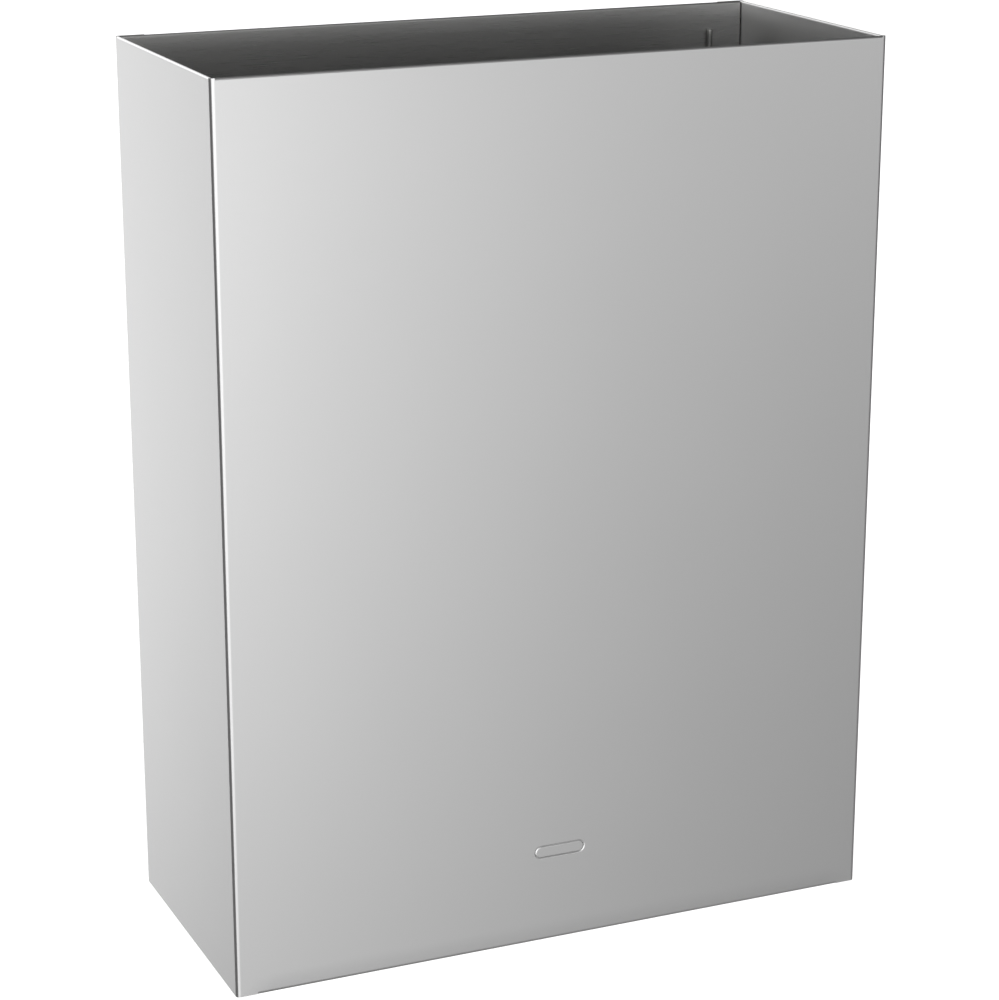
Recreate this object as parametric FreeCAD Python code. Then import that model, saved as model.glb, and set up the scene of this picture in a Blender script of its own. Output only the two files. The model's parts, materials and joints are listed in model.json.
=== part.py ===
import FreeCAD, Part

import math
import os

from FreeCAD import Vector

# Open-top stainless steel waste bin for a washroom wall, with a concealed bag ring.
# Millimetres. Origin at the middle of the base, +Z up, the front faces -Y, the wall is at +Y.

# Overall size
WIDTH = 350.0
DEPTH = 152.0
HEIGHT = 455.0

# Sheet metal
SHEET = 1.0
BEND_INNER = 1.0
FIT_GAP = 0.1

# Rolled rim: the sheet is folded inwards and flattened
HEM_LEG = 26.0
HEM_GAP = 0.2
HEM_CORNER_GAP = 0.2
HEM_NOTCH = 0.5

# Return flanges
REAR_FLANGE = 15.0
BASE_FLANGE = 12.0
BASE_FLANGE_RELIEF = 11.0

# Pressed mark low on the front: the outline of a plain rounded bar
MARK_LENGTH = 28.0
MARK_HEIGHT = 7.0
MARK_LINE = 0.9
MARK_DEPTH = 0.3
MARK_CENTRE_Z = 49.5

# Wall fixings in the rear panel
KEYHOLE_SPACING = 250.0
KEYHOLE_FROM_RIM = 75.0
KEYHOLE_HEAD_RADIUS = 5.5
KEYHOLE_SLOT_RADIUS = 2.75
KEYHOLE_RISE = 11.0
SCREW_HOLE_SPACING = 250.0
SCREW_HOLE_FROM_BASE = 75.0
SCREW_HOLE_RADIUS = 3.0

# Floor
PAN_LIP = 13.0
PAN_CORNER_RELIEF = 4.0

# Bag ring
RING_WIRE_RADIUS = 2.0
RING_DROP = 42.0
RING_SIDE_GAP = 4.8
RING_FRONT_GAP = 5.8
RING_CORNER_RADIUS = 10.0

# Hangers that carry the ring's rear bar
HANGER_WIRE_RADIUS = 1.5
HANGER_CORNER_GAP = 1.0
HANGER_FROM_RIM = 14.0
HANGER_WELD_SINK = 0.15
HINGE_CLEARANCE = 0.06
EYE_WRAP_DEG = 270.0

# Rests that hold the ring level, and the rubber sleeves that land on them
REST_LENGTH = 22.0
REST_LEG = 14.0
REST_PAST_WIRE = 3.0
REST_FROM_FRONT = 42.0
SLEEVE_WALL = 1.5
SLEEVE_GRIP = 0.05
SLEEVE_OVERHANG = 1.5
REST_CLEARANCE = 0.3

# Derived places
HALF_W = WIDTH / 2
HALF_D = DEPTH / 2
HALF_SHEET = SHEET / 2
BEND_MID = BEND_INNER + HALF_SHEET
BEND_OUTER = BEND_INNER + SHEET
HEM_MID = (HEM_GAP + SHEET) / 2
HEM_THICKNESS = HEM_GAP + 2 * SHEET
HEM_SETBACK = HEM_THICKNESS + HEM_CORNER_GAP
PLAIN_EDGE_Z = HEIGHT - HEM_THICKNESS / 2 - HEM_NOTCH
INNER_W = HALF_W - SHEET
INNER_FRONT_Y = -HALF_D + SHEET
PANEL_BACK_Y = HALF_D - SHEET
PANEL_FRONT_Y = PANEL_BACK_Y - SHEET
REAR_HEM_Y = PANEL_BACK_Y - HEM_THICKNESS

RING_Z = HEIGHT - RING_DROP
RING_SIDE_X = HALF_W - HEM_THICKNESS - RING_SIDE_GAP - RING_WIRE_RADIUS
RING_FRONT_Y = -HALF_D + HEM_THICKNESS + RING_FRONT_GAP + RING_WIRE_RADIUS
EYE_RADIUS = RING_WIRE_RADIUS + HINGE_CLEARANCE + HANGER_WIRE_RADIUS
HANGER_Y = REAR_HEM_Y - HANGER_WIRE_RADIUS + HANGER_WELD_SINK
HINGE_Y = HANGER_Y - EYE_RADIUS
HANGER_X = RING_SIDE_X - RING_CORNER_RADIUS - HANGER_CORNER_GAP - HANGER_WIRE_RADIUS
SLEEVE_RADIUS = RING_WIRE_RADIUS + SLEEVE_WALL
REST_Y = -HALF_D + REST_FROM_FRONT
REST_TOP_Z = RING_Z - SLEEVE_RADIUS - REST_CLEARANCE

X_AXIS = Vector(1, 0, 0)
Y_AXIS = Vector(0, 1, 0)
Z_AXIS = Vector(0, 0, 1)

SIDES = {"left": -1, "right": 1}


def in_plan(u, v):
    """A point of an outline drawn in the XY plane."""
    return Vector(u, v, 0)


def in_end_view(u, v):
    """A point of an outline drawn in the YZ plane."""
    return Vector(0, u, v)


def in_front_view(u, v):
    """A point of an outline drawn in the XZ plane."""
    return Vector(u, 0, v)


def add_line(edges, start, end):
    """Adds a straight edge unless its ends are the same point."""
    if start.distanceToPoint(end) > Part.Precision.confusion():
        edges.append(Part.LineSegment(start, end).toShape())


def bent_strip(path, bend, place):
    """The section of a sheet bent along its mid-line, as a face.

    path: corner points of the mid-line. bend: the mid-line's bend radius.
    place: turns (u, v) into a point of the drawing plane.
    """
    points = [place(u, v) for u, v in path]
    normal = place(1, 0).cross(place(0, 1))
    sides = {1: [], -1: []}
    for side, edges in sides.items():
        shift = side * HALF_SHEET
        along = (points[1] - points[0]).normalize()
        here = points[0] + normal.cross(along) * shift
        for before, corner, after in zip(points, points[1:], points[2:]):
            run_in = (corner - before).normalize()
            run_out = (after - corner).normalize()
            turn = run_in.getAngle(run_out)
            set_back = bend * math.tan(turn / 2)
            to_centre = (run_out - run_in).normalize()
            centre = corner + to_centre * (bend / math.cos(turn / 2))
            inner_side = 1 if normal.cross(run_in).dot(to_centre) > 0 else -1
            radius = bend - side * inner_side * HALF_SHEET
            arc_start = corner - run_in * set_back + normal.cross(run_in) * shift
            arc_end = corner + run_out * set_back + normal.cross(run_out) * shift
            arc_middle = centre - to_centre * radius
            add_line(edges, here, arc_start)
            edges.append(Part.Arc(arc_start, arc_middle, arc_end).toShape())
            here = arc_end
        along = (points[-1] - points[-2]).normalize()
        add_line(edges, here, points[-1] + normal.cross(along) * shift)
    outline = sides[1] + sides[-1]
    for end in (0, -1):
        corners = [sides[side][end].Vertexes[end].Point for side in (1, -1)]
        add_line(outline, *corners)
    wire = Part.Wire(Part.__sortEdges__(outline))
    return Part.Face(wire)


def slab(low, high):
    """A box between two opposite corners."""
    size = Vector(*high) - Vector(*low)
    return Part.makeBox(size.x, size.y, size.z, Vector(*low))


def extruded(face, axis, start, end):
    """A face carried along an axis from one coordinate to another."""
    moved = face.copy()
    moved.translate(axis * start)
    return moved.extrude(axis * (end - start))


def joined(shapes):
    """One solid made of touching shapes."""
    first, *rest = shapes
    return first.fuse(rest).removeSplitter()


def mirrored(shape, side):
    """The shape itself on the right, its mirror image on the left."""
    return shape if side > 0 else shape.mirror(Vector(), X_AXIS)


def hem_path(outer, inward):
    """Mid-line of a rolled rim on a wall, as (distance, height) points.

    outer: where the wall's outer face stands. inward: the sign of the fold's direction.
    """
    wall = outer + inward * HALF_SHEET
    leg = wall + inward * 2 * HEM_MID
    top = HEIGHT - HALF_SHEET
    return [(wall, PLAIN_EDGE_Z), (wall, top), (leg, top), (leg, HEIGHT - HEM_LEG)]


def stadium(length, height, depth):
    """A flat bar with round ends that reaches in from the front face, at the mark's place."""
    radius = height / 2
    half = length / 2 - radius
    front = -HALF_D
    parts = [slab((-half, front, MARK_CENTRE_Z - radius), (half, front + depth, MARK_CENTRE_Z + radius))]
    for x in (-half, half):
        parts.append(Part.makeCylinder(radius, depth, Vector(x, front, MARK_CENTRE_Z), Y_AXIS))
    return joined(parts)


def outer_shell():
    """Front, sides and rear return flanges bent from one sheet, with hems and a base flange.

    The bends and the flanges rise to the rim's full height, and each hem ends beside them.
    """
    flange_end = HALF_W - REAR_FLANGE
    side = HALF_W - HALF_SHEET
    back = HALF_D - HALF_SHEET
    corners = [(-side, back), (-side, -back), (side, -back), (side, back)]
    plan = [(-flange_end, back), *corners, (flange_end, back)]
    wall = extruded(bent_strip(plan, BEND_MID, in_plan), Z_AXIS, 0, HEIGHT)

    front_end = HALF_W - HEM_SETBACK
    side_end = HALF_D - HEM_SETBACK
    above_front = slab((-front_end, -HALF_D, PLAIN_EDGE_Z), (front_end, INNER_FRONT_Y, HEIGHT))
    above_side = slab((INNER_W, -side_end, PLAIN_EDGE_Z), (HALF_W, side_end, HEIGHT))
    wall = wall.cut([above_front, *(mirrored(above_side, sign) for sign in SIDES.values())])
    front_hem = bent_strip(hem_path(-HALF_D, 1), HEM_MID, in_end_view)
    side_hem = bent_strip(hem_path(HALF_W, -1), HEM_MID, in_front_view)
    side_hem = extruded(side_hem, Y_AXIS, -side_end, side_end)
    hems = [extruded(front_hem, X_AXIS, -front_end, front_end)]
    hems += [mirrored(side_hem, sign) for sign in SIDES.values()]

    half_flange = HALF_W - BASE_FLANGE_RELIEF
    opening = slab((-half_flange, -HALF_D, 0), (half_flange, INNER_FRONT_Y, BEND_OUTER))
    base_path = [(-back, BEND_OUTER), (-back, HALF_SHEET), (-HALF_D + BASE_FLANGE, HALF_SHEET)]
    base_flange = extruded(bent_strip(base_path, BEND_MID, in_end_view), X_AXIS, -half_flange, half_flange)

    inner_mark = stadium(MARK_LENGTH - 2 * MARK_LINE, MARK_HEIGHT - 2 * MARK_LINE, MARK_DEPTH)
    mark = stadium(MARK_LENGTH, MARK_HEIGHT, MARK_DEPTH).cut(inner_mark)
    return joined([wall.cut(opening), base_flange, *hems]).cut(mark)


def keyhole(x):
    """Cutter for a keyhole: the screw's head goes in low and its shank locks at the slot's top."""
    slot_z = HEIGHT - KEYHOLE_FROM_RIM
    head_z = slot_z - KEYHOLE_RISE
    head = Part.makeCylinder(KEYHOLE_HEAD_RADIUS, SHEET, Vector(x, PANEL_FRONT_Y, head_z), Y_AXIS)
    top = Part.makeCylinder(KEYHOLE_SLOT_RADIUS, SHEET, Vector(x, PANEL_FRONT_Y, slot_z), Y_AXIS)
    low = (x - KEYHOLE_SLOT_RADIUS, PANEL_FRONT_Y, head_z)
    slot = slab(low, (x + KEYHOLE_SLOT_RADIUS, PANEL_BACK_Y, slot_z))
    return joined([head, top, slot])


def rear_panel():
    """Flat rear sheet behind the return flanges' inner faces, with its own hem and wall holes."""
    half = INNER_W - BEND_INNER - FIT_GAP
    sheet = slab((-half, PANEL_FRONT_Y, 0), (half, PANEL_BACK_Y, PLAIN_EDGE_Z))
    hem_end = HALF_W - HEM_SETBACK - HEM_CORNER_GAP
    hem = bent_strip(hem_path(PANEL_BACK_Y, -1), HEM_MID, in_end_view)
    panel = joined([sheet, extruded(hem, X_AXIS, -hem_end, hem_end)])
    for sign in SIDES.values():
        panel = panel.cut(keyhole(sign * KEYHOLE_SPACING / 2))
        place = Vector(sign * SCREW_HOLE_SPACING / 2, PANEL_FRONT_Y, SCREW_HOLE_FROM_BASE)
        panel = panel.cut(Part.makeCylinder(SCREW_HOLE_RADIUS, SHEET, place, Y_AXIS))
    return panel


def base_pan():
    """Floor with four upturned lips; it sits on the base flange and is welded inside the walls."""
    floor = SHEET + HALF_SHEET
    lip_top = SHEET + PAN_LIP
    lip_x = INNER_W - HALF_SHEET
    front = INNER_FRONT_Y + HALF_SHEET
    rear = PANEL_FRONT_Y - HALF_SHEET
    across = [(-lip_x, lip_top), (-lip_x, floor), (lip_x, floor), (lip_x, lip_top)]
    along = [(front, lip_top), (front, floor), (rear, floor), (rear, lip_top)]
    span_y = (INNER_FRONT_Y + PAN_CORNER_RELIEF, PANEL_FRONT_Y - PAN_CORNER_RELIEF)
    half_x = INNER_W - PAN_CORNER_RELIEF
    side_lips = extruded(bent_strip(across, BEND_MID, in_front_view), Y_AXIS, *span_y)
    end_lips = extruded(bent_strip(along, BEND_MID, in_end_view), X_AXIS, -half_x, half_x)
    return joined([side_lips, end_lips])


def bar(start, end, radius):
    """Round wire from one point to another."""
    return Part.makeCylinder(radius, (end - start).Length, start, end - start)


def elbow(start, tangent, centre, axis, degrees, radius):
    """Round wire bent about a centre, starting at a point where it runs along the tangent."""
    section = Part.Face(Part.Wire(Part.makeCircle(radius, start, tangent)))
    return section.revolve(centre, axis, degrees)


def bag_ring():
    """Closed rectangle of wire in one plane; its rear bar turns in the hangers' eyes."""
    reach_x = RING_SIDE_X - RING_CORNER_RADIUS
    front_y = RING_FRONT_Y + RING_CORNER_RADIUS
    rear_y = HINGE_Y - RING_CORNER_RADIUS
    corners = [(reach_x, front_y), (reach_x, rear_y), (-reach_x, rear_y), (-reach_x, front_y)]
    centres = [Vector(x, y, RING_Z) for x, y in corners]
    outward = [X_AXIS, Y_AXIS, -X_AXIS, -Y_AXIS]
    wire = []
    for centre, following, side in zip(centres, centres[1:] + centres[:1], outward):
        offset = side * RING_CORNER_RADIUS
        run = following - centre
        wire.append(bar(centre + offset, following + offset, RING_WIRE_RADIUS))
        wire.append(elbow(following + offset, run, following, Z_AXIS, 90, RING_WIRE_RADIUS))
    return joined(wire)


def hanger(side):
    """Upright wire welded to the rear hem, bent round the ring's rear bar as an open eye."""
    x = HANGER_X
    level = Vector(x, HANGER_Y, RING_Z)
    upright = bar(level, Vector(x, HANGER_Y, HEIGHT - HANGER_FROM_RIM), HANGER_WIRE_RADIUS)
    centre = Vector(x, HINGE_Y, RING_Z)
    eye = elbow(level, Z_AXIS, centre, -X_AXIS, EYE_WRAP_DEG, HANGER_WIRE_RADIUS)
    return mirrored(joined([upright, eye]), side)


def ring_rest(side):
    """Angle bracket welded inside a side wall, with its shelf under the ring's sleeve."""
    wall = INNER_W - HALF_SHEET
    shelf = REST_TOP_Z - HALF_SHEET
    path = [(wall, REST_TOP_Z - REST_LEG), (wall, shelf), (RING_SIDE_X - REST_PAST_WIRE, shelf)]
    face = bent_strip(path, BEND_MID, in_front_view)
    bracket = extruded(face, Y_AXIS, REST_Y - REST_LENGTH / 2, REST_Y + REST_LENGTH / 2)
    return mirrored(bracket, side)


def ring_sleeve(side):
    """Rubber tube pushed on the ring's side bar where it lands on the rest."""
    half = REST_LENGTH / 2 + SLEEVE_OVERHANG
    start = Vector(RING_SIDE_X, REST_Y - half, RING_Z)
    end = Vector(RING_SIDE_X, REST_Y + half, RING_Z)
    outside = bar(start, end, SLEEVE_RADIUS)
    bore = bar(start, end, RING_WIRE_RADIUS - SLEEVE_GRIP)
    return mirrored(outside.cut(bore), side)


def main():
    """Builds every piece and writes each to its own file."""
    pieces = {
        "outer_shell": outer_shell(),
        "rear_panel": rear_panel(),
        "base_pan": base_pan(),
        "bag_ring": bag_ring(),
    }
    for name, side in SIDES.items():
        pieces[f"{name}_hanger"] = hanger(side)
        pieces[f"{name}_ring_rest"] = ring_rest(side)
        pieces[f"{name}_ring_sleeve"] = ring_sleeve(side)
    os.makedirs("parts", exist_ok=True)
    for name, shape in pieces.items():
        shape.exportStep(f"parts/{name}.step")
        box = shape.BoundBox
        print(f"{name}: {len(shape.Solids)} solid, valid {shape.isValid()}, {shape.Volume:.0f} mm3, "
              f"x {box.XMin:.2f}..{box.XMax:.2f}, y {box.YMin:.2f}..{box.YMax:.2f}, "
              f"z {box.ZMin:.2f}..{box.ZMax:.2f}")


main()
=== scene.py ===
"""Looks of an open-topped washroom waste bin: satin stainless sheet, a hinged wire ring and rubber sleeves.

Metres, in the design's own frame: origin in the middle of the base, +Z up, front towards -Y.
"""
import json
import logging
import math
from dataclasses import dataclass, field
from enum import Enum

import bpy
import numpy as np
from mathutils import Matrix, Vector


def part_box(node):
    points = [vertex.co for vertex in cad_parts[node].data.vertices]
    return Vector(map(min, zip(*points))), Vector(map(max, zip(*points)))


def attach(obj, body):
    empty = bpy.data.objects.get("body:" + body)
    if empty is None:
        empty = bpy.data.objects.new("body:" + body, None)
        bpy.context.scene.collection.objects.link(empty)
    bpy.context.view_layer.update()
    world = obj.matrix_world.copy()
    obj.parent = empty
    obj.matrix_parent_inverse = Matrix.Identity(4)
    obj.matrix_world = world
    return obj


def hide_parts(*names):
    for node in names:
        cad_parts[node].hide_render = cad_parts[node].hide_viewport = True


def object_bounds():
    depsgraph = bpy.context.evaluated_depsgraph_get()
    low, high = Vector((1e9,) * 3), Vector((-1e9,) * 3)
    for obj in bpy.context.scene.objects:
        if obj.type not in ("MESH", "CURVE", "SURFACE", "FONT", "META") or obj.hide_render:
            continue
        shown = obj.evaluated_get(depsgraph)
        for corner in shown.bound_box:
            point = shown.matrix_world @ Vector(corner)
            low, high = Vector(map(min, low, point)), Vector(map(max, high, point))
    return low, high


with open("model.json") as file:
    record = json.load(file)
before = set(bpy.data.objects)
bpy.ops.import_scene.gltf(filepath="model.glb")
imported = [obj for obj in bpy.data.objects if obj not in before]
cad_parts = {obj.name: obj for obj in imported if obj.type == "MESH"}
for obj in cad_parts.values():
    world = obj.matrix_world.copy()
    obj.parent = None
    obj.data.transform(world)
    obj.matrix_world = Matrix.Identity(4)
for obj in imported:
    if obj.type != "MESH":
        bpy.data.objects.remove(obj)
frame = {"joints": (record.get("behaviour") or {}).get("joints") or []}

CAD_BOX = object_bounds()
MM = 0.001
SAME = 0.001 * MM  # points nearer than this are one point
TOUCHING = 1e-7  # rounding allowed where values are compared
END_RINGS = 5  # rings of points on the rounded end of an open wire
UP = np.array([0.0, 0.0, 1.0])
LOG = logging.getLogger("waste_bin")


class Body(Enum):
    """The two rigid bodies that pieces ride on."""

    BIN = "bin"
    RING = "bag_frame"


class Slot(Enum):
    """The record's material slots."""

    OUTSIDE = "satin_stainless"
    INSIDE = "satin_stainless_inside"
    WIRE = "bright_wire"
    RUBBER = "sleeve_rubber"


def linear(hex_colour: str) -> tuple[float, float, float, float]:
    """Turns an sRGB hex colour into linear red, green, blue and alpha.

    Args:
        hex_colour: six hex digits, such as "c8c9ca".
    Returns:
        Four linear values for a shader socket.
    """
    channels = (int(hex_colour[i:i + 2], 16) / 255 for i in (0, 2, 4))
    red, green, blue = (c / 12.92 if c <= 0.04045 else ((c + 0.055) / 1.055) ** 2.4 for c in channels)
    return red, green, blue, 1.0


def stations(start: float, stop: float, step: float) -> np.ndarray:
    """Evenly spaced places from start to stop, both included, no further apart than step.

    Args:
        start: first place.
        stop: last place.
        step: largest spacing.
    Returns:
        The places in order.
    """
    rounding = 1e-9
    return np.linspace(start, stop, max(1, math.ceil(abs(stop - start) / step - rounding)) + 1)


def grid_faces(index: np.ndarray) -> np.ndarray:
    """Four-cornered faces between the neighbours in a grid of point numbers.

    Args:
        index: rows x columns point numbers.
    Returns:
        Rows - 1 x columns - 1 x 4 point numbers.
    """
    return np.stack([index[:-1, :-1], index[:-1, 1:], index[1:, 1:], index[1:, :-1]], axis=-1)


def round_faces(lower: np.ndarray, upper: np.ndarray) -> np.ndarray:
    """Four-cornered faces between rings of point numbers, each of which closes on itself.

    Args:
        lower: rings x sides point numbers.
        upper: the ring above each of them.
    Returns:
        Faces x 4 point numbers.
    """
    return np.stack([lower, np.roll(lower, -1, 1), np.roll(upper, -1, 1), upper], axis=-1).reshape(-1, 4)


def border(grid: np.ndarray) -> np.ndarray:
    """The border of a grid, once round and back to its first point.

    Args:
        grid: rows x columns x values.
    Returns:
        The border's points in order.
    """
    return np.concatenate([grid[0, :-1], grid[:-1, -1], grid[-1, :0:-1], grid[::-1, 0]])


# ---------------------------------------------------------------------------------------------
# Sheet metal: a middle surface in patches, given its thickness on both sides


@dataclass
class Profile:
    """A bent sheet's section, drawn by walking along its mid-line.

    Each point has its place (u, v), the unit normal of the sheet's outer side and the distance walked. The
    outer side is on the walker's right: normal = (sin heading, -cos heading).
    """

    place: np.ndarray
    heading: float
    points: list[np.ndarray] = field(default_factory=list)
    normals: list[np.ndarray] = field(default_factory=list)
    walked: list[np.ndarray] = field(default_factory=list)

    def __post_init__(self) -> None:
        """Records the starting point."""
        self._record(self.place[None], np.array([self.heading]), np.zeros(1))

    def _record(self, points: np.ndarray, headings: np.ndarray, distances: np.ndarray) -> "Profile":
        """Adds a stretch of points and stands on its last one.

        Args:
            points: n x 2 places.
            headings: the walker's heading at each, in radians.
            distances: how far each is from where the stretch began.
        Returns:
            The profile itself.
        """
        before = self.walked[-1][-1] if self.walked else 0.0
        self.points.append(points)
        self.normals.append(np.column_stack([np.sin(headings), -np.cos(headings)]))
        self.walked.append(before + distances)
        self.place, self.heading = points[-1], float(headings[-1])
        return self

    def straight(self, *stops: float) -> "Profile":
        """Walks straight on: point = here + stop * forward.

        Args:
            stops: distances from here, in rising order, each of which gets a point.
        Returns:
            The profile itself.
        """
        distances = np.array(stops)
        forward = np.array([math.cos(self.heading), math.sin(self.heading)])
        headings = np.full(len(stops), self.heading)
        return self._record(self.place + distances[:, None] * forward, headings, distances)

    def bend(self, radius: float, degrees: float, steps: int) -> "Profile":
        """Walks round an arc of the mid-line.

        Point = centre + radius * normal on a left turn and centre - radius * normal on a right one, at
        evenly growing angles.

        Args:
            radius: the mid-line's radius.
            degrees: angle turned, positive to the left.
            steps: number of points.
        Returns:
            The profile itself.
        """
        sign = math.copysign(1.0, degrees)
        centre = self.place + sign * radius * np.array([-math.sin(self.heading), math.cos(self.heading)])
        turned = np.radians(np.linspace(0, degrees, steps + 1)[1:])
        headings = self.heading + turned
        outward = np.column_stack([np.sin(headings), -np.cos(headings)])
        return self._record(centre + sign * radius * outward, headings, radius * np.abs(turned))

    def turned_over(self) -> "Profile":
        """Swaps the sheet's two sides, and returns the profile itself."""
        self.normals = [-part for part in self.normals]
        return self

    def arrays(self) -> tuple[np.ndarray, np.ndarray, np.ndarray]:
        """The points, normals and distances walked, as arrays."""
        return np.concatenate(self.points), np.concatenate(self.normals), np.concatenate(self.walked)


@dataclass
class Patch:
    """A grid of points on a sheet's middle surface, rows by columns.

    places and normals have three values at each point. grain has two: metres along the brushing, and
    across it.
    """

    places: np.ndarray
    normals: np.ndarray
    grain: np.ndarray

    def faces(self, first: int) -> np.ndarray:
        """The patch's faces, turned the way its normals point.

        Args:
            first: number of the patch's first point.
        Returns:
            Rows - 1 x columns - 1 x 4 point numbers.
        """
        faces = grid_faces(first + np.arange(self.places[..., 0].size).reshape(self.places.shape[:2]))
        across = self.places[:-1, 1:] - self.places[:-1, :-1]
        up = self.places[1:, :-1] - self.places[:-1, :-1]
        facing = np.einsum("ijk,ijk->ij", np.cross(across, up), self.normals[:-1, :-1]).sum()
        return faces[..., ::-1] if facing < 0 else faces


def carried(profile: Profile, edge: np.ndarray, run: np.ndarray, along: np.ndarray) -> Patch:
    """A patch made by carrying a profile along a level edge.

    place(i, j) = edge(j) + u(i) * run(j) + v(i) * up, and the normal is the profile's in the same axes.

    Args:
        profile: the section, with u along run and v upwards.
        edge: columns x 3 places of the profile's origin.
        run: columns x 3 directions of the profile's u axis.
        along: distance along the edge at each column, for the grain.
    Returns:
        The patch.
    """
    points, normals, walked = profile.arrays()
    places = edge + points[:, 0, None, None] * run + points[:, 1, None, None] * UP
    outward = normals[:, 0, None, None] * run + normals[:, 1, None, None] * UP
    return Patch(places, outward, np.stack(np.meshgrid(along, walked), axis=-1))


def upright(edge: np.ndarray, run: np.ndarray, along: np.ndarray, rows: np.ndarray) -> Patch:
    """A wall that stands on an edge: place = edge + height * up.

    Args:
        edge: columns x 3 places at height nought.
        run: the outward normals.
        along: distances along the edge, for the grain.
        rows: heights.
    Returns:
        The patch.
    """
    places = edge + rows[:, None, None] * UP
    grain = np.stack(np.meshgrid(along, rows), axis=-1)
    return Patch(places, np.broadcast_to(run, places.shape), grain)


def ring_patch(patch: Patch, rows: slice, columns: slice, outline: np.ndarray, rings: int) -> Patch:
    """Fills a rectangular gap in a flat patch that faces along Y, up to a hole's outline.

    Its rows blend evenly from the gap's border to the outline, point by point round both.

    Args:
        patch: the flat patch that has the gap.
        rows: grid rows on the gap's border and inside it.
        columns: grid columns on the gap's border and inside it.
        outline: the hole's edge, with one place for each point of the gap's border.
        rings: number of rows of faces.
    Returns:
        A closed ring of faces as a patch whose last column repeats the first.
    """
    gap, gap_grain = patch.places[rows, columns], patch.grain[rows, columns]
    share = np.linspace(0, 1, rings + 1)[:, None, None]
    places = (1 - share) * border(gap) + share * outline
    grain = gap_grain[0, 0] + (places - gap[0, 0])[..., [0, 2]]
    grain[0] = border(gap_grain)
    return Patch(places, np.broadcast_to(patch.normals[0, 0], places.shape), grain)


def closed_sheet(patches: list[Patch], thickness: float, gap: np.ndarray | None = None
                 ) -> tuple[np.ndarray, np.ndarray, np.ndarray]:
    """One closed mesh from patches that share their borders.

    Outer point = middle + normal * thickness / 2, inner point = middle - normal * thickness / 2, and a rim
    of faces joins the two along every free edge.

    Args:
        patches: the middle surface.
        thickness: the sheet's thickness.
        gap: a mask of the first patch's faces that are left out.
    Returns:
        Vertices, four-cornered faces and the grain coordinates of each vertex.
    """
    starts = np.cumsum([0] + [patch.places[..., 0].size for patch in patches])
    blocks = [patch.faces(start) for patch, start in zip(patches, starts)]
    if gap is not None:
        blocks[0] = blocks[0][~gap]
    quad = np.concatenate([block.reshape(-1, 4) for block in blocks])
    place = np.concatenate([patch.places.reshape(-1, 3) for patch in patches])
    normal = np.concatenate([patch.normals.reshape(-1, 3) for patch in patches])
    grain = np.concatenate([patch.grain.reshape(-1, 2) for patch in patches])
    _, first, same = np.unique(np.round(place / SAME).astype(np.int64), axis=0,
                               return_index=True, return_inverse=True)
    used, quad = np.unique(same.reshape(-1)[quad], return_inverse=True)
    quad = quad.reshape(-1, 4)
    place, normal, grain = (values[first[used]] for values in (place, normal, grain))
    total = len(place)
    edges = np.stack([quad, np.roll(quad, -1, axis=1)], axis=-1).reshape(-1, 2)
    key = edges[:, 0] * total + edges[:, 1]
    free = edges[~np.isin(key, edges[:, 1] * total + edges[:, 0])]
    rim = np.stack([free[:, 1], free[:, 0], free[:, 0] + total, free[:, 1] + total], axis=-1)
    vertices = np.concatenate([place + normal * thickness / 2, place - normal * thickness / 2])
    return vertices, np.concatenate([quad, quad[:, ::-1] + total, rim]), np.concatenate([grain, grain])


def make_object(name: str, vertices: np.ndarray, faces: list | np.ndarray, grain: np.ndarray | None = None
                ) -> bpy.types.Object:
    """Makes a smooth-shaded mesh object at the origin.

    Args:
        name: the object's name.
        vertices: n x 3 places.
        faces: corner indices of each face.
        grain: metres along and across the surface pattern at each vertex, kept as the UV map "grain".
    Returns:
        The new object, in the scene.
    """
    mesh = bpy.data.meshes.new(name)
    mesh.from_pydata(vertices.tolist(), [], faces.tolist() if isinstance(faces, np.ndarray) else faces)
    if grain is not None:
        corners = np.empty(len(mesh.loops), np.int32)
        mesh.loops.foreach_get("vertex_index", corners)
        layer = mesh.uv_layers.new(name="grain")
        layer.data.foreach_set("uv", grain[corners].astype(np.float32).ravel())
    mesh.polygons.foreach_set("use_smooth", np.ones(len(mesh.polygons), bool))
    mesh.update()
    piece = bpy.data.objects.new(name, mesh)
    bpy.context.scene.collection.objects.link(piece)
    return piece


def sheet_object(name: str, patches: list[Patch], thickness: float, deburr: float,
                 gap: np.ndarray | None = None) -> bpy.types.Object:
    """Makes a sheet-metal piece and deburrs its cut edges with a small rounded bevel.

    Args:
        name: the object's name.
        patches: the middle surface.
        thickness: the sheet's thickness.
        deburr: the bevel's width.
        gap: a mask of the first patch's faces that are left out.
    Returns:
        The new object.
    """
    piece = make_object(name, *closed_sheet(patches, thickness, gap))
    bevel = piece.modifiers.new("deburred edges", "BEVEL")
    bevel.width = deburr
    bevel.segments = 2
    bevel.limit_method = "ANGLE"
    bevel.angle_limit = math.radians(50)
    bevel.harden_normals = True
    return piece


# ---------------------------------------------------------------------------------------------
# Round wire and tube


@dataclass
class WirePath:
    """A wire's centre line in one plane, walked like a profile and placed by three vectors.

    place = origin + u * across + v * upward, and the plane's normal is across x upward.
    """

    profile: Profile
    origin: np.ndarray
    across: np.ndarray
    upward: np.ndarray

    def frames(self) -> tuple[np.ndarray, np.ndarray, np.ndarray, np.ndarray]:
        """Places, in-plane normals, plane normals and distances along the centre line."""
        points, normals, walked = self.profile.arrays()
        place = self.origin + points[:, :1] * self.across + points[:, 1:] * self.upward
        side = normals[:, :1] * self.across + normals[:, 1:] * self.upward
        plane = np.broadcast_to(np.cross(self.across, self.upward), place.shape)
        return place, side, plane, walked


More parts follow.
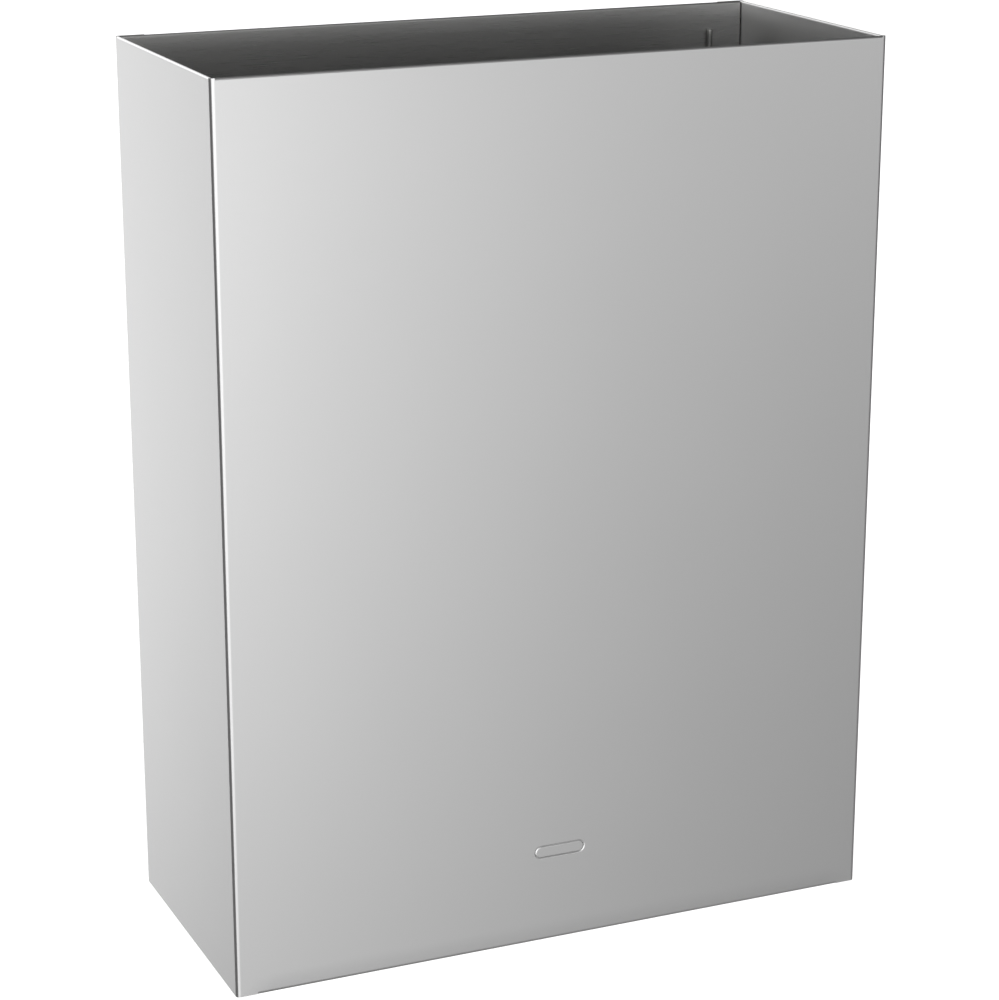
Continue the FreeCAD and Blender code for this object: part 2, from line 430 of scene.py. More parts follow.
def wire_mesh(path: WirePath, radius: np.ndarray | float, sides: int, closed: bool, deburr: float
              ) -> tuple[np.ndarray, list, np.ndarray]:
    """A round wire: place + radius * (cos(a) * side + sin(a) * plane normal), for the angle a round it.

    At each end of an open wire, for t from a quarter turn to nought, the section stands deburr * (1 - sin t)
    in from the cut and its radius is smaller by deburr * (1 - cos t).

    Args:
        path: the centre line.
        radius: the wire's radius, one value or one for each point of the path.
        sides: corners of its section.
        closed: whether the last point repeats the first.
        deburr: radius of the rounded edge at each cut end of an open wire.
    Returns:
        Vertices, faces and grain coordinates.
    """
    place, side, plane, walked = path.frames()
    reach = np.broadcast_to(np.asarray(radius, float), walked.shape)
    if closed:
        place, side, plane, walked, reach = (values[:-1] for values in (place, side, plane, walked, reach))
    else:
        forward = np.cross(plane, side)
        turn = np.linspace(math.pi / 2, 0, END_RINGS)
        inset, shrink = deburr * (1 - np.sin(turn))[:, None], deburr * (1 - np.cos(turn))
        start, end = place[0] + inset * forward[0], place[-1] - inset[::-1] * forward[-1]
        place = np.concatenate([start, place[1:-1], end])
        reach = np.concatenate([reach[0] - shrink, reach[1:-1], reach[-1] - shrink[::-1]])
        more = len(turn) - 1
        side, plane, walked = (np.concatenate([np.repeat(values[:1], more, 0), values,
                                               np.repeat(values[-1:], more, 0)])
                               for values in (side, plane, walked))
    angle = np.linspace(0, 2 * math.pi, sides, endpoint=False)
    round_it = np.cos(angle)[:, None] * side[:, None] + np.sin(angle)[:, None] * plane[:, None]
    vertices = place[:, None] + reach[:, None, None] * round_it
    index = np.arange(len(place) * sides).reshape(len(place), sides)
    faces = round_faces(index, np.roll(index, -1, 0)) if closed else round_faces(index[:-1], index[1:])
    corner = vertices.reshape(-1, 3)[faces[0]]
    from_axis = corner.mean(0) - vertices[0].mean(0)
    outward = np.dot(np.cross(corner[1] - corner[0], corner[2] - corner[0]), from_axis)
    first, last = index[0].tolist(), index[-1].tolist()
    if outward < 0:
        faces, caps = faces[:, ::-1], [first, last[::-1]]
    else:
        caps = [first[::-1], last]
    grain = np.stack(np.meshgrid(angle * np.max(reach), walked), axis=-1).reshape(-1, 2)
    return vertices.reshape(-1, 3), faces.tolist() + ([] if closed else caps), grain[:, ::-1]


# ---------------------------------------------------------------------------------------------
# Materials


class Nodes:
    """A node tree being filled in."""

    def __init__(self, tree: bpy.types.NodeTree) -> None:
        """Keeps the tree.

        Args:
            tree: the node tree, already empty.
        """
        self.tree = tree

    def add(self, kind: str, settings: dict | None = None, links: dict | None = None) -> bpy.types.Node:
        """Adds a node with its settings and links.

        Args:
            kind: the node's type name.
            settings: values for its properties, or for its input sockets where no property has the name.
            links: input socket name to the output socket that feeds it.
        Returns:
            The new node.
        """
        node = self.tree.nodes.new(kind)
        for name, value in (settings or {}).items():
            if isinstance(name, str) and hasattr(node, name):
                setattr(node, name, value)
            else:
                node.inputs[name].default_value = value
        for name, source in (links or {}).items():
            self.tree.links.new(source, node.inputs[name])
        return node

    def grain(self, length: float, width: float) -> tuple[bpy.types.NodeSocket, bpy.types.NodeSocket]:
        """The UV map "grain", as it is and drawn out so that one unit is one mark long and one wide.

        Args:
            length: a mark's length along the grain.
            width: its width across the grain.
        Returns:
            The plain vector and the drawn-out one.
        """
        plain = self.add("ShaderNodeUVMap", {"uv_map": "grain"}).outputs["UV"]
        drawn = self.add("ShaderNodeMapping", {"Scale": (1 / length, 1 / width, 1.0)}, {"Vector": plain})
        return plain, drawn.outputs["Vector"]

    def around(self, value: float, spread: float, pattern: bpy.types.NodeSocket) -> bpy.types.NodeSocket:
        """A value that a pattern moves up and down.

        Args:
            value: the middle value.
            spread: largest change as a share of the value.
            pattern: a socket that runs from 0 to 1.
        Returns:
            The socket with the moved value.
        """
        limits = {"To Min": value * (1 - spread), "To Max": value * (1 + spread)}
        return self.add("ShaderNodeMapRange", limits, {"Value": pattern}).outputs["Result"]


def new_material(name: str) -> tuple[bpy.types.Material, Nodes]:
    """Makes an empty material.

    Args:
        name: the finish's plain name.
    Returns:
        The material and its node tree, ready to fill.
    """
    material = bpy.data.materials.new(name)
    material.use_nodes = True
    material.node_tree.nodes.clear()
    return material, Nodes(material.node_tree)


@dataclass(frozen=True)
class BrushedStainless:
    """Satin brushed stainless sheet, ground with a fine belt along the sheet.

    The belt leaves hair-fine scratches in one direction, so reflections are drawn out across them and the
    sheet looks silky rather than mirror-like.
    """

    name: str
    tint: str
    roughness: float
    stretch: float
    scratch_width: float = 0.35 * MM
    scratch_length: float = 28 * MM
    scratch_depth: float = 0.0004 * MM
    cloud_size: float = 90 * MM
    cloud_strength: float = 0.012
    wear: float = 0.1

    def build(self) -> bpy.types.Material:
        """Builds the material.

        Returns:
            A metal whose grain follows the UV map "grain". The real scratches are about 0.05 mm wide, and
            they are drawn wider here because finer ones would not show.
        """
        material, nodes = new_material(self.name)
        grain, drawn = nodes.grain(self.scratch_length, self.scratch_width)
        scratch = nodes.add("ShaderNodeTexNoise", {"Scale": 1.0, "Detail": 3.0, "Roughness": 0.6},
                            {"Vector": drawn})
        clouds = nodes.add("ShaderNodeTexNoise", {"Scale": 1 / self.cloud_size, "Detail": 1.0},
                           {"Vector": grain})
        rough = nodes.around(self.roughness, self.wear, scratch.outputs["Fac"])
        dark, light = (tuple(c * f for c in linear(self.tint)[:3]) + (1.0,)
                       for f in (1 - self.cloud_strength, 1 + self.cloud_strength))
        colour = nodes.add("ShaderNodeMix", {"data_type": "RGBA", 6: dark, 7: light},
                           {"Factor": clouds.outputs["Fac"]})
        bump = nodes.add("ShaderNodeBump", {"Strength": 1.0, "Distance": self.scratch_depth},
                         {"Height": scratch.outputs["Fac"]})
        tangent = nodes.add("ShaderNodeTangent", {"direction_type": "UV_MAP", "uv_map": "grain"})
        shader = nodes.add(
            "ShaderNodeBsdfPrincipled",
            {"Metallic": 1.0, "Anisotropic": self.stretch, "Anisotropic Rotation": 0.25},
            {"Base Color": colour.outputs[2], "Roughness": rough,
             "Normal": bump.outputs["Normal"], "Tangent": tangent.outputs["Tangent"]})
        nodes.add("ShaderNodeOutputMaterial", None, {"Surface": shader.outputs["BSDF"]})
        return material


@dataclass(frozen=True)
class DrawnWire:
    """Bright drawn stainless wire: smooth, with faint lines along its length from the die."""

    name: str = "drawn stainless wire, darkened as painted shade"
    # This tint is darker than the wire's steel is: painted shade for the hangers, which stand in the bin's
    # shaded inside.
    tint: str = "9c9c9a"
    roughness: float = 0.34
    line_width: float = 0.25 * MM
    line_length: float = 40 * MM
    line_depth: float = 0.001 * MM
    wear: float = 0.15

    def build(self) -> bpy.types.Material:
        """Builds the material, with its die lines along the UV map "grain"."""
        material, nodes = new_material(self.name)
        _, drawn = nodes.grain(self.line_length, self.line_width)
        lines = nodes.add("ShaderNodeTexNoise", {"Scale": 1.0, "Detail": 2.0}, {"Vector": drawn})
        rough = nodes.around(self.roughness, self.wear, lines.outputs["Fac"])
        bump = nodes.add("ShaderNodeBump", {"Strength": 0.6, "Distance": self.line_depth},
                         {"Height": lines.outputs["Fac"]})
        shader = nodes.add("ShaderNodeBsdfPrincipled", {"Metallic": 1.0, "Base Color": linear(self.tint)},
                           {"Roughness": rough, "Normal": bump.outputs["Normal"]})
        nodes.add("ShaderNodeOutputMaterial", None, {"Surface": shader.outputs["BSDF"]})
        return material


@dataclass(frozen=True)
class MouldedRubber:
    """Black moulded rubber: a soft, slightly dusty sheen and a fine grained skin."""

    name: str = "black moulded rubber"
    tint: str = "1d1d1e"
    worn_tint: str = "2b2b2b"
    roughness: float = 0.62
    skin_size: float = 0.4 * MM
    skin_depth: float = 0.02 * MM

    def build(self) -> bpy.types.Material:
        """Builds the material on Object coordinates."""
        material, nodes = new_material(self.name)
        place = nodes.add("ShaderNodeTexCoord").outputs["Object"]
        skin = nodes.add("ShaderNodeTexNoise", {"Scale": 1 / self.skin_size, "Detail": 2.0},
                         {"Vector": place})
        colour = nodes.add("ShaderNodeMix",
                           {"data_type": "RGBA", 6: linear(self.tint), 7: linear(self.worn_tint)},
                           {"Factor": skin.outputs["Fac"]})
        bump = nodes.add("ShaderNodeBump", {"Strength": 0.5, "Distance": self.skin_depth},
                         {"Height": skin.outputs["Fac"]})
        shader = nodes.add("ShaderNodeBsdfPrincipled", {"Roughness": self.roughness, "IOR": 1.52},
                           {"Base Color": colour.outputs[2], "Normal": bump.outputs["Normal"]})
        nodes.add("ShaderNodeOutputMaterial", None, {"Surface": shader.outputs["BSDF"]})
        return material


@dataclass(frozen=True)
class Finishes:
    """Every finish of the bin, built once."""

    outside: bpy.types.Material
    inside: bpy.types.Material
    wire: bpy.types.Material
    rubber: bpy.types.Material

    @classmethod
    def build(cls) -> "Finishes":
        """Builds the materials."""
        return cls(
            BrushedStainless("satin brushed stainless", "cfcfcf", 0.30, 0.45).build(),
            # The inside is the same steel as the outside: its darker tint b8b8b7 is painted shade for the
            # bin's shaded inside.
            BrushedStainless("satin brushed stainless, inside, painted shade", "b8b8b7", 0.28, 0.4).build(),
            DrawnWire().build(),
            MouldedRubber().build())


def finish_piece(piece: bpy.types.Object, material: bpy.types.Material, body: Body, node: str
                 ) -> None:
    """Dresses a piece and sets it in the frame in place of its CAD node.

    Args:
        piece: the object.
        material: its finish.
        body: the body it rides on.
        node: the CAD node that it stands for.
    """
    piece.data.materials.clear()
    piece.data.materials.append(material)
    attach(piece, body.value)
    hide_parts(node)


# ---------------------------------------------------------------------------------------------
# The sub-assemblies


@dataclass
class SheetRules:
    """What every folded part of the bin shares: its thickness, bends and rolled rim."""

    thickness: float = 1.0 * MM
    bend: float = 1.5 * MM
    hem_bend: float = 0.6 * MM
    hem_leg: float = 26.0 * MM
    hem_start: float = 0.5 * MM
    hem_setback: float = 2.4 * MM
    corner_gap: float = 0.2 * MM
    coarse: float = 9.0 * MM
    deburr: float = 0.13 * MM
    seam: float = 0.03 * MM
    bend_steps: int = 12

    def hem(self, top: float) -> Profile:
        """The rolled rim: up the wall, over by half a turn, and down the inside.

        Args:
            top: the rim's height.
        Returns:
            A profile with u outwards from the wall's middle and v up.
        """
        roll = self.hem_bend + self.thickness / 2
        leg = self.hem_leg - roll
        start = np.array([0.0, top - roll - self.hem_start])
        rim = Profile(start, math.pi / 2).straight(self.hem_start)
        return rim.bend(self.hem_bend, 180, 2 * self.bend_steps).straight(*stations(0, leg, self.coarse)[1:])


@dataclass
class PressedMark:
    """A shallow pressed outline of a plain rounded bar, low on the front."""

    height_above_base: float = 49.5 * MM
    length: float = 28.0 * MM
    height: float = 7.0 * MM
    line: float = 0.9 * MM
    depth: float = 0.28 * MM
    fine: float = 0.2 * MM
    margin: float = 1.0 * MM

    def press(self, x: np.ndarray, z: np.ndarray) -> np.ndarray:
        """How far the sheet is pushed in at each point.

        With q the distance to the middle of the outline's line, the depth falls from its full value at the
        middle of the line to nothing at its edge as 1 - smoothstep(q / half line).

        Args:
            x: distances across the front.
            z: heights.
        Returns:
            Depths, of the same shape.
        """
        radius = (self.height - self.line) / 2
        half = (self.length - self.line) / 2 - radius
        along = np.maximum(np.abs(x) - half, 0)
        to_line = np.abs(np.hypot(along, z - self.height_above_base) - radius)
        share = np.clip(to_line / (self.line / 2), 0, 1)
        return self.depth * (1 - share ** 2 * (3 - 2 * share))

    def x_stops(self) -> np.ndarray:
        """Columns close enough together for the mark's line."""
        reach = self.length / 2 + self.margin
        return stations(-reach, reach, self.fine)

    def z_stops(self) -> np.ndarray:
        """Rows close enough together for the mark's line."""
        reach = self.height / 2 + self.margin
        return self.height_above_base + stations(-reach, reach, self.fine)


@dataclass
class OuterShell:
    """Front, sides and rear return flanges bent from one sheet, with rolled rims and a base flange."""

    rules: SheetRules
    mark: PressedMark
    rear_flange: float = 15.0 * MM
    base_flange: float = 12.0 * MM
    base_relief: float = 11.0 * MM
    wall_lift: float = 0.6 * MM

    def build(self) -> bpy.types.Object:
        """Builds the shell's mesh.

        Its columns follow the bent sheet in plan and its rows rise up the wall. The rims and the base
        flange are profiles carried along the same columns. The bin stands on the flange: beside it the
        walls' cut edges stop wall_lift higher.

        Returns:
            The shell object.
        """
        rules, half = self.rules, self.rules.thickness / 2
        low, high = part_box("outer_shell")
        top = high.z
        points, outward, along = self._plan(high.x - half, -low.y - half).arrays()
        edge = np.column_stack([points, np.zeros(len(points))])
        run = np.column_stack([outward, np.zeros(len(points))])
        x, y = points.T
        flat = np.abs(outward).max(axis=1) > 1 - TOUCHING
        on_front = flat & (outward[:, 1] < -0.5)
        on_side = flat & (np.abs(outward[:, 0]) > 0.5)
        foot = 2 * rules.bend - rules.thickness
        edge_top = top - rules.hem_bend - half - rules.hem_start
        mark_rows = self.mark.z_stops()
        rows = np.concatenate([stations(foot, mark_rows[0], rules.coarse), mark_rows[1:-1],
                               stations(mark_rows[-1], edge_top, rules.coarse)])
        wall = upright(edge, run, along, rows)
        pressed = self.mark.press(wall.places[..., 0], wall.places[..., 2]) * on_front[None]
        wall.places = wall.places - pressed[..., None] * wall.normals
        patches = [wall]

        plain = np.ones(len(x), bool)
        within_x = np.abs(x) <= high.x - rules.hem_setback + TOUCHING
        within_y = np.abs(y) <= high.y - rules.hem_setback + TOUCHING
        for rim in (on_front & within_x, on_side & within_y & (x < 0), on_side & within_y & (x > 0)):
            patches.append(carried(rules.hem(top), edge[rim], run[rim], along[rim]))
            plain[np.flatnonzero(rim)[1:-1]] = False
        shoulder = np.array([edge_top, edge_top + rules.hem_start, top])
        for part in np.split(np.arange(len(x)), np.flatnonzero(np.diff(plain.astype(int))) + 1):
            if plain[part[0]]:
                patches.append(upright(edge[part], run[part], along[part], shoulder))
        with_flange = on_front & (np.abs(x) <= high.x - self.base_relief + TOUCHING)
        flange = Profile(np.array([0.0, foot]), -math.pi / 2)
        flange.bend(rules.bend, -90, rules.bend_steps)
        reach = self.base_flange - half - rules.bend
        flange.straight(*stations(0, reach, rules.coarse)[1:]).turned_over()
        patches.append(carried(flange, edge[with_flange], run[with_flange], along[with_flange]))
        first, last = np.flatnonzero(with_flange)[[0, -1]]
        for part in (slice(None, first + 1), slice(last, None)):
            patches.append(upright(edge[part], run[part], along[part], np.array([self.wall_lift, foot])))
        return sheet_object("outer_shell_sheet", patches, rules.thickness, rules.deburr)

    def _plan(self, side_x: float, front_y: float) -> Profile:
        """The shell seen from above, from the left rear flange round to the right one.

        Args:
            side_x: distance of the sides' middle surface from the centre.
            front_y: distance of the front's middle surface from the centre.
        Returns:
            The profile, with a column at every place where a rim or flange ends.
        """
        rules = self.rules
        half = rules.thickness / 2
        bend = (rules.bend, 90, rules.bend_steps)
        flange = self.rear_flange - half - rules.bend
        side = 2 * (front_y - rules.bend)
        front = 2 * (side_x - rules.bend)
        hem_in = rules.hem_setback - half - rules.bend
        side_stops = np.append(stations(hem_in, side - hem_in, rules.coarse), side)
        mark = self.mark.x_stops() + front / 2
        relief_in = self.base_relief - half - rules.bend
        front_stops = np.concatenate([[hem_in], stations(relief_in, mark[0], rules.coarse), mark[1:-1],
                                      stations(mark[-1], front - relief_in, rules.coarse),
                                      [front - hem_in, front]])
        plan = Profile(np.array([-side_x + rules.bend + flange, front_y]), math.pi)
        plan.straight(flange / 2, flange).bend(*bend)
        plan.straight(*side_stops).bend(*bend).straight(*front_stops)
        return plan.bend(*bend).straight(*side_stops).bend(*bend).straight(flange / 2, flange)


@dataclass
class WallHole:
    """A hole in the rear panel, as a radius that depends on the direction from its middle.

    A round hole has rise 0. A keyhole adds a slot of half width slot that rises by rise.
    """

    x: float
    z: float
    radius: float
    slot: float = 0.0
    rise: float = 0.0

    def reach(self, direction: np.ndarray) -> np.ndarray:
        """Distance from the middle to the edge.

        Inside the slot's directions it is the longer of the round entry and the slot: slot / |sin a| up to
        the slot's round end, then the far root of |r * direction - end centre| = slot.

        Args:
            direction: angles from straight up.
        Returns:
            Distances.
        """
        round_part = np.full(direction.shape, self.radius)
        if not self.rise:
            return round_part
        across = np.abs(np.sin(direction))
        straight = self.slot / np.maximum(across, TOUCHING)
        inside = np.maximum(self.slot ** 2 - (self.rise * across) ** 2, 0)
        end = self.rise * np.cos(direction) + np.sqrt(inside)
        slotted = np.where(straight * np.cos(direction) <= self.rise, straight, end)
        return np.where(np.cos(direction) > 0, np.maximum(round_part, slotted), round_part)


@dataclass
class RearPanel:
    """Flat rear sheet lapped inside the return flanges, with its rolled rim and wall-fixing holes."""

    rules: SheetRules
    hole_spacing: float = 250.0 * MM
    keyhole_from_rim: float = 75.0 * MM
    keyhole_rise: float = 11.0 * MM
    keyhole_head: float = 5.5 * MM
    keyhole_slot: float = 2.75 * MM
    screw_from_base: float = 75.0 * MM
    screw_hole: float = 3.0 * MM
    block: float = 24.0 * MM
    block_cells: int = 24
    rings: int = 6

    def build(self) -> bpy.types.Object:
        """Builds the panel: a flat grid, a ring of faces round each hole, and the rim carried along its top.

        Returns:
            The panel object.
        """
        rules, half = self.rules, self.rules.thickness / 2
        _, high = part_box("rear_panel")
        keyhole_z = high.z - self.keyhole_from_rim - self.keyhole_rise
        sides = (-self.hole_spacing / 2, self.hole_spacing / 2)
        holes = [WallHole(x, keyhole_z, self.keyhole_head, self.keyhole_slot, self.keyhole_rise)
                 for x in sides]
        holes += [WallHole(x, self.screw_from_base, self.screw_hole) for x in sides]
        rim_end = high.x + rules.thickness + rules.corner_gap + rules.hem_bend - rules.hem_setback
        rim_end = min(rim_end, high.x - half)
        xs = self._stops(-high.x, high.x, sorted({hole.x for hole in holes}), [-rim_end, rim_end])
        edge_top = high.z - rules.hem_bend - half - rules.hem_start
        zs = self._stops(0.0, edge_top, sorted({hole.z for hole in holes}), [])
        edge = np.column_stack([xs, np.full(len(xs), high.y - half - rules.seam), np.zeros(len(xs))])
        run = np.tile([0.0, 1.0, 0.0], (len(xs), 1))
        panel = upright(edge, run, xs, zs)
        gap = np.zeros((len(zs) - 1, len(xs) - 1), bool)
        patches = [panel]
        for hole in holes:
            columns = np.flatnonzero(np.abs(xs - hole.x) <= self.block / 2 + TOUCHING)
            rows = np.flatnonzero(np.abs(zs - hole.z) <= self.block / 2 + TOUCHING)
            columns, rows = slice(columns[0], columns[-1] + 1), slice(rows[0], rows[-1] + 1)
            gap[rows.start:rows.stop - 1, columns.start:columns.stop - 1] = True
            patches.append(self._around(panel, rows, columns, hole))
        rim = np.abs(xs) <= rim_end + TOUCHING
        patches.append(carried(rules.hem(high.z), edge[rim], run[rim], xs[rim]))
        return sheet_object("rear_panel_sheet", patches, rules.thickness, rules.deburr, gap)

    def _stops(self, start: float, stop: float, centres: list[float], extra: list[float]) -> np.ndarray:
        """Grid lines from start to stop with an even block of cells round each centre.

        Args:
            start: first line.
            stop: last line.
            centres: middles of the blocks.
            extra: further lines that are needed.
        Returns:
            The lines in order.
        """
        lines = [np.array([start])]
        here = start
        for centre in centres:
            near, far = centre - self.block / 2, centre + self.block / 2
            lines.append(stations(here, near, self.rules.coarse)[1:])
            lines.append(stations(near, far, self.block / self.block_cells)[1:])
            here = far
        lines.append(stations(here, stop, self.rules.coarse)[1:])
        merged = np.sort(np.concatenate([*lines, np.array(extra)]))
        return merged[np.append(True, np.diff(merged) > SAME)]

    def _around(self, panel: Patch, rows: slice, columns: slice, hole: WallHole) -> Patch:
        """The ring of faces between a block's border and its hole.

        Args:
            panel: the flat grid.
            rows: the block's rows.
            columns: the block's columns.
            hole: the hole.
        Returns:
            The patch.
        """
        around = border(panel.places[rows, columns])
        centre = np.array([hole.x, around[0, 1], hole.z])
        across, _, up = (around - centre).T
        direction = np.arctan2(across, up)
        towards = np.column_stack([np.sin(direction), np.zeros(len(direction)), np.cos(direction)])
        outline = centre + hole.reach(direction)[:, None] * towards
        return ring_patch(panel, rows, columns, outline, self.rings)


@dataclass
class BasePan:
    """The folded floor: a flat sheet with four upturned lips and open corners."""

    rules: SheetRules
    corner_relief: float = 4.0 * MM

    def build(self) -> bpy.types.Object:
        """Builds the floor grid and carries one lip profile along each of its four edges.

        Returns:
            The pan object.
        """
        rules, half = self.rules, self.rules.thickness / 2
        low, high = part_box("base_pan")
        floor_z = low.z + half + rules.seam
        flat_x = high.x - self.corner_relief
        ys = stations(low.y + self.corner_relief, high.y - self.corner_relief, rules.coarse)
        xs = stations(-flat_x, flat_x, rules.coarse)
        places = np.stack([*np.meshgrid(xs, ys), np.full((len(ys), len(xs)), floor_z)], axis=-1)
        grain = places[..., :2].copy()
        patches = [Patch(places, np.broadcast_to(-UP, places.shape), grain)]
        to_bend = self.corner_relief - half - rules.bend - rules.seam
        lip = high.z - floor_z - rules.bend - rules.seam
        section = Profile(np.zeros(2), 0.0).straight(to_bend).bend(rules.bend, 90, rules.bend_steps)
        section.straight(lip / 2, lip)
        for axis, sign, row in ((0, 1, places[:, -1]), (0, -1, places[:, 0]), (1, 1, places[-1]),
                                (1, -1, places[0])):
            run = np.zeros((len(row), 3))
            run[:, axis] = sign
            patches.append(carried(section, row, run, row[:, 1 - axis]))
        return sheet_object("base_pan_sheet", patches, rules.thickness, rules.deburr)


@dataclass
class RingRest:
    """Angle bracket inside a side wall, with its shelf under the ring's sleeve."""

    rules: SheetRules
    side: int
    step: float = 2 * MM
    deburr: float = 0.2 * MM

    def build(self) -> bpy.types.Object:
        """Builds the bracket by carrying its section along Y.

        Returns:
            The bracket object.
        """
        name = "right_ring_rest" if self.side > 0 else "left_ring_rest"
        low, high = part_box(name)
        half = self.rules.thickness / 2
        wall_x = (high.x if self.side > 0 else -low.x) - self.rules.seam
        tip_x = low.x if self.side > 0 else -high.x
        ys = stations(low.y, high.y, self.step)
        section = Profile(np.array([wall_x - half, low.z]), math.pi / 2)
        section.straight(high.z - low.z - half - self.rules.bend)
        section.bend(self.rules.bend, 90, self.rules.bend_steps)
        section.straight(wall_x - half - self.rules.bend - tip_x)
        edge = np.column_stack([np.zeros(len(ys)), ys, np.zeros(len(ys))])
        run = np.tile([float(self.side), 0.0, 0.0], (len(ys), 1))
        return sheet_object(name + "_bracket", [carried(section, edge, run, ys)], self.rules.thickness,
                            self.deburr)


@dataclass
class Hanger:
    """Upright wire welded to the rear rim's leg, with an open eye round the ring's rear bar."""

    side: int
    wire: float = 1.5 * MM
    eye_clearance: float = 0.06 * MM
    ring_wire: float = 2.0 * MM
    wrap: float = 270.0
    wrap_steps: int = 54
    step: float = 3 * MM
    deburr: float = 0.25 * MM
    sides: int = 28

    def build(self, hinge: Vector) -> bpy.types.Object:
        """Builds the wire.

        Args:
            hinge: a point on the ring's hinge axis.
        Returns:
            The wire object.
        """
        name = "right_hanger" if self.side > 0 else "left_hanger"
        low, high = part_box(name)
        eye = self.wire + self.eye_clearance + self.ring_wire
        drop = high.z - hinge.z
        walk = Profile(np.array([eye, drop]), -math.pi / 2)
        walk.straight(*stations(0, drop, self.step)[1:]).bend(eye, -self.wrap, self.wrap_steps)
        origin = np.array([(low.x + high.x) / 2, hinge.y, hinge.z])
        path = WirePath(walk, origin, np.array([0.0, 1.0, 0.0]), UP)
        return make_object(name + "_wire", *wire_mesh(path, self.wire, self.sides, False, self.deburr))


@dataclass
class BagRing:
    """Closed rectangle of wire that the bag's cuff folds over, butt-welded in the middle of its rear bar."""

    wire: float = 2.0 * MM
    corner: float = 10.0 * MM
    corner_steps: int = 20
    step: float = 12 * MM
    weld_bulge: float = 0.22 * MM
    weld_width: float = 1.6 * MM
    weld_reach: float = 5.0
    weld_step: float = 0.4 * MM
    sides: int = 32

    def build(self) -> bpy.types.Object:
        """Builds the ring.

        The wire's radius swells at the weld as radius + bulge * exp(-(distance / width) squared), and its
        points stand close together up to weld_reach widths away.

        Returns:
            The ring object.
        """
        low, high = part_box("bag_ring")
        side_x = high.x - self.wire
        front_y, rear_y = low.y + self.wire, high.y - self.wire
        depth, half = rear_y - front_y - 2 * self.corner, side_x - self.corner
        corner = (self.corner, 90, self.corner_steps)
        near_weld = stations(0, self.weld_reach * self.weld_width, self.weld_step)[1:]
        walk = Profile(np.array([0.0, rear_y]), math.pi)
        walk.straight(*near_weld, *stations(near_weld[-1], half, self.step)[1:])
        for length in (depth, 2 * half, depth):
            walk.bend(*corner).straight(*stations(0, length, self.step)[1:])
        to_weld = (*(half - near_weld[::-1][1:]), half)
        walk.bend(*corner).straight(*stations(0, half - near_weld[-1], self.step)[1:], *to_weld)
        origin = np.array([0.0, 0.0, (low.z + high.z) / 2])
        path = WirePath(walk, origin, np.array([1.0, 0.0, 0.0]), np.array([0.0, 1.0, 0.0]))
        _, _, walked = walk.arrays()
        from_weld = np.minimum(walked, walked[-1] - walked)
        radius = self.wire + self.weld_bulge * np.exp(-(from_weld / self.weld_width) ** 2)
        return make_object("bag_ring_wire", *wire_mesh(path, radius, self.sides, True, 0.0))


@dataclass
class RingSleeve:
    """Rubber tube on the ring's side bar, with rounded ends and shallow grip grooves."""

    side: int
    round_over: float = 0.5 * MM
    groove: float = 0.15 * MM
    groove_pitch: float = 2.5 * MM
    wall: float = 1.5 * MM
    grip: float = 0.04 * MM
    step: float = 0.25 * MM
    end_rings: int = 6
    sides: int = 40

    def build(self) -> bpy.types.Object:
        """Builds the sleeve as a closed section turned about the bar.

        Between two rounded ends the outside radius is full - groove * (1 - cos(2 pi y / pitch)) / 2, with y
        from the first of them. The bore is smaller than the bar by its grip.

        Returns:
            The sleeve object.
        """
        name = "right_ring_sleeve" if self.side > 0 else "left_ring_sleeve"
        low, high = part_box(name)
        full = (high.z - low.z) / 2
        bore = full - self.wall - self.grip
        turn = np.linspace(0, math.pi / 2, self.end_rings)
        ys = stations(low.y + self.round_over, high.y - self.round_over, self.step)
        groove = self.groove * (1 - np.cos(2 * math.pi * (ys - ys[0]) / self.groove_pitch)) / 2
        inset = self.round_over * (1 - np.sin(turn))
        end_r = full - self.round_over * (1 - np.cos(turn))
        section_y = np.concatenate([(low.y + inset)[::-1], ys[1:-1], high.y - inset, [high.y, low.y]])
        section_r = np.concatenate([end_r[::-1], (full - groove)[1:-1], end_r, [bore, bore]])
        angle = np.linspace(0, 2 * math.pi, self.sides, endpoint=False)
        vertices = np.stack([(low.x + high.x) / 2 + section_r[:, None] * np.cos(angle),
                             np.broadcast_to(section_y[:, None], (len(section_y), self.sides)),
                             (low.z + high.z) / 2 + section_r[:, None] * np.sin(angle)], axis=-1)
        index = np.arange(vertices[..., 0].size).reshape(vertices.shape[:2])
        faces = round_faces(index, np.roll(index, -1, 0))[:, ::-1]
        return make_object(name + "_tube", vertices.reshape(-1, 3), faces)


# ---------------------------------------------------------------------------------------------
# Studio


@dataclass(frozen=True)
class Card:
    """A large soft light far away, seen in the steel as a smooth glow.

    Its brightness in a direction d is strength * max(0, d . towards) ** sharpness.
    """

    name: str
    azimuth: float
    elevation: float
    sharpness: float
    strength: float

    def towards(self) -> tuple[float, float, float]:
        """Unit vector to the card; azimuth 0 is in front of the bin and 90 to its right."""
        a, e = math.radians(self.azimuth), math.radians(self.elevation)
        return math.sin(a) * math.cos(e), -math.cos(a) * math.cos(e), math.sin(e)


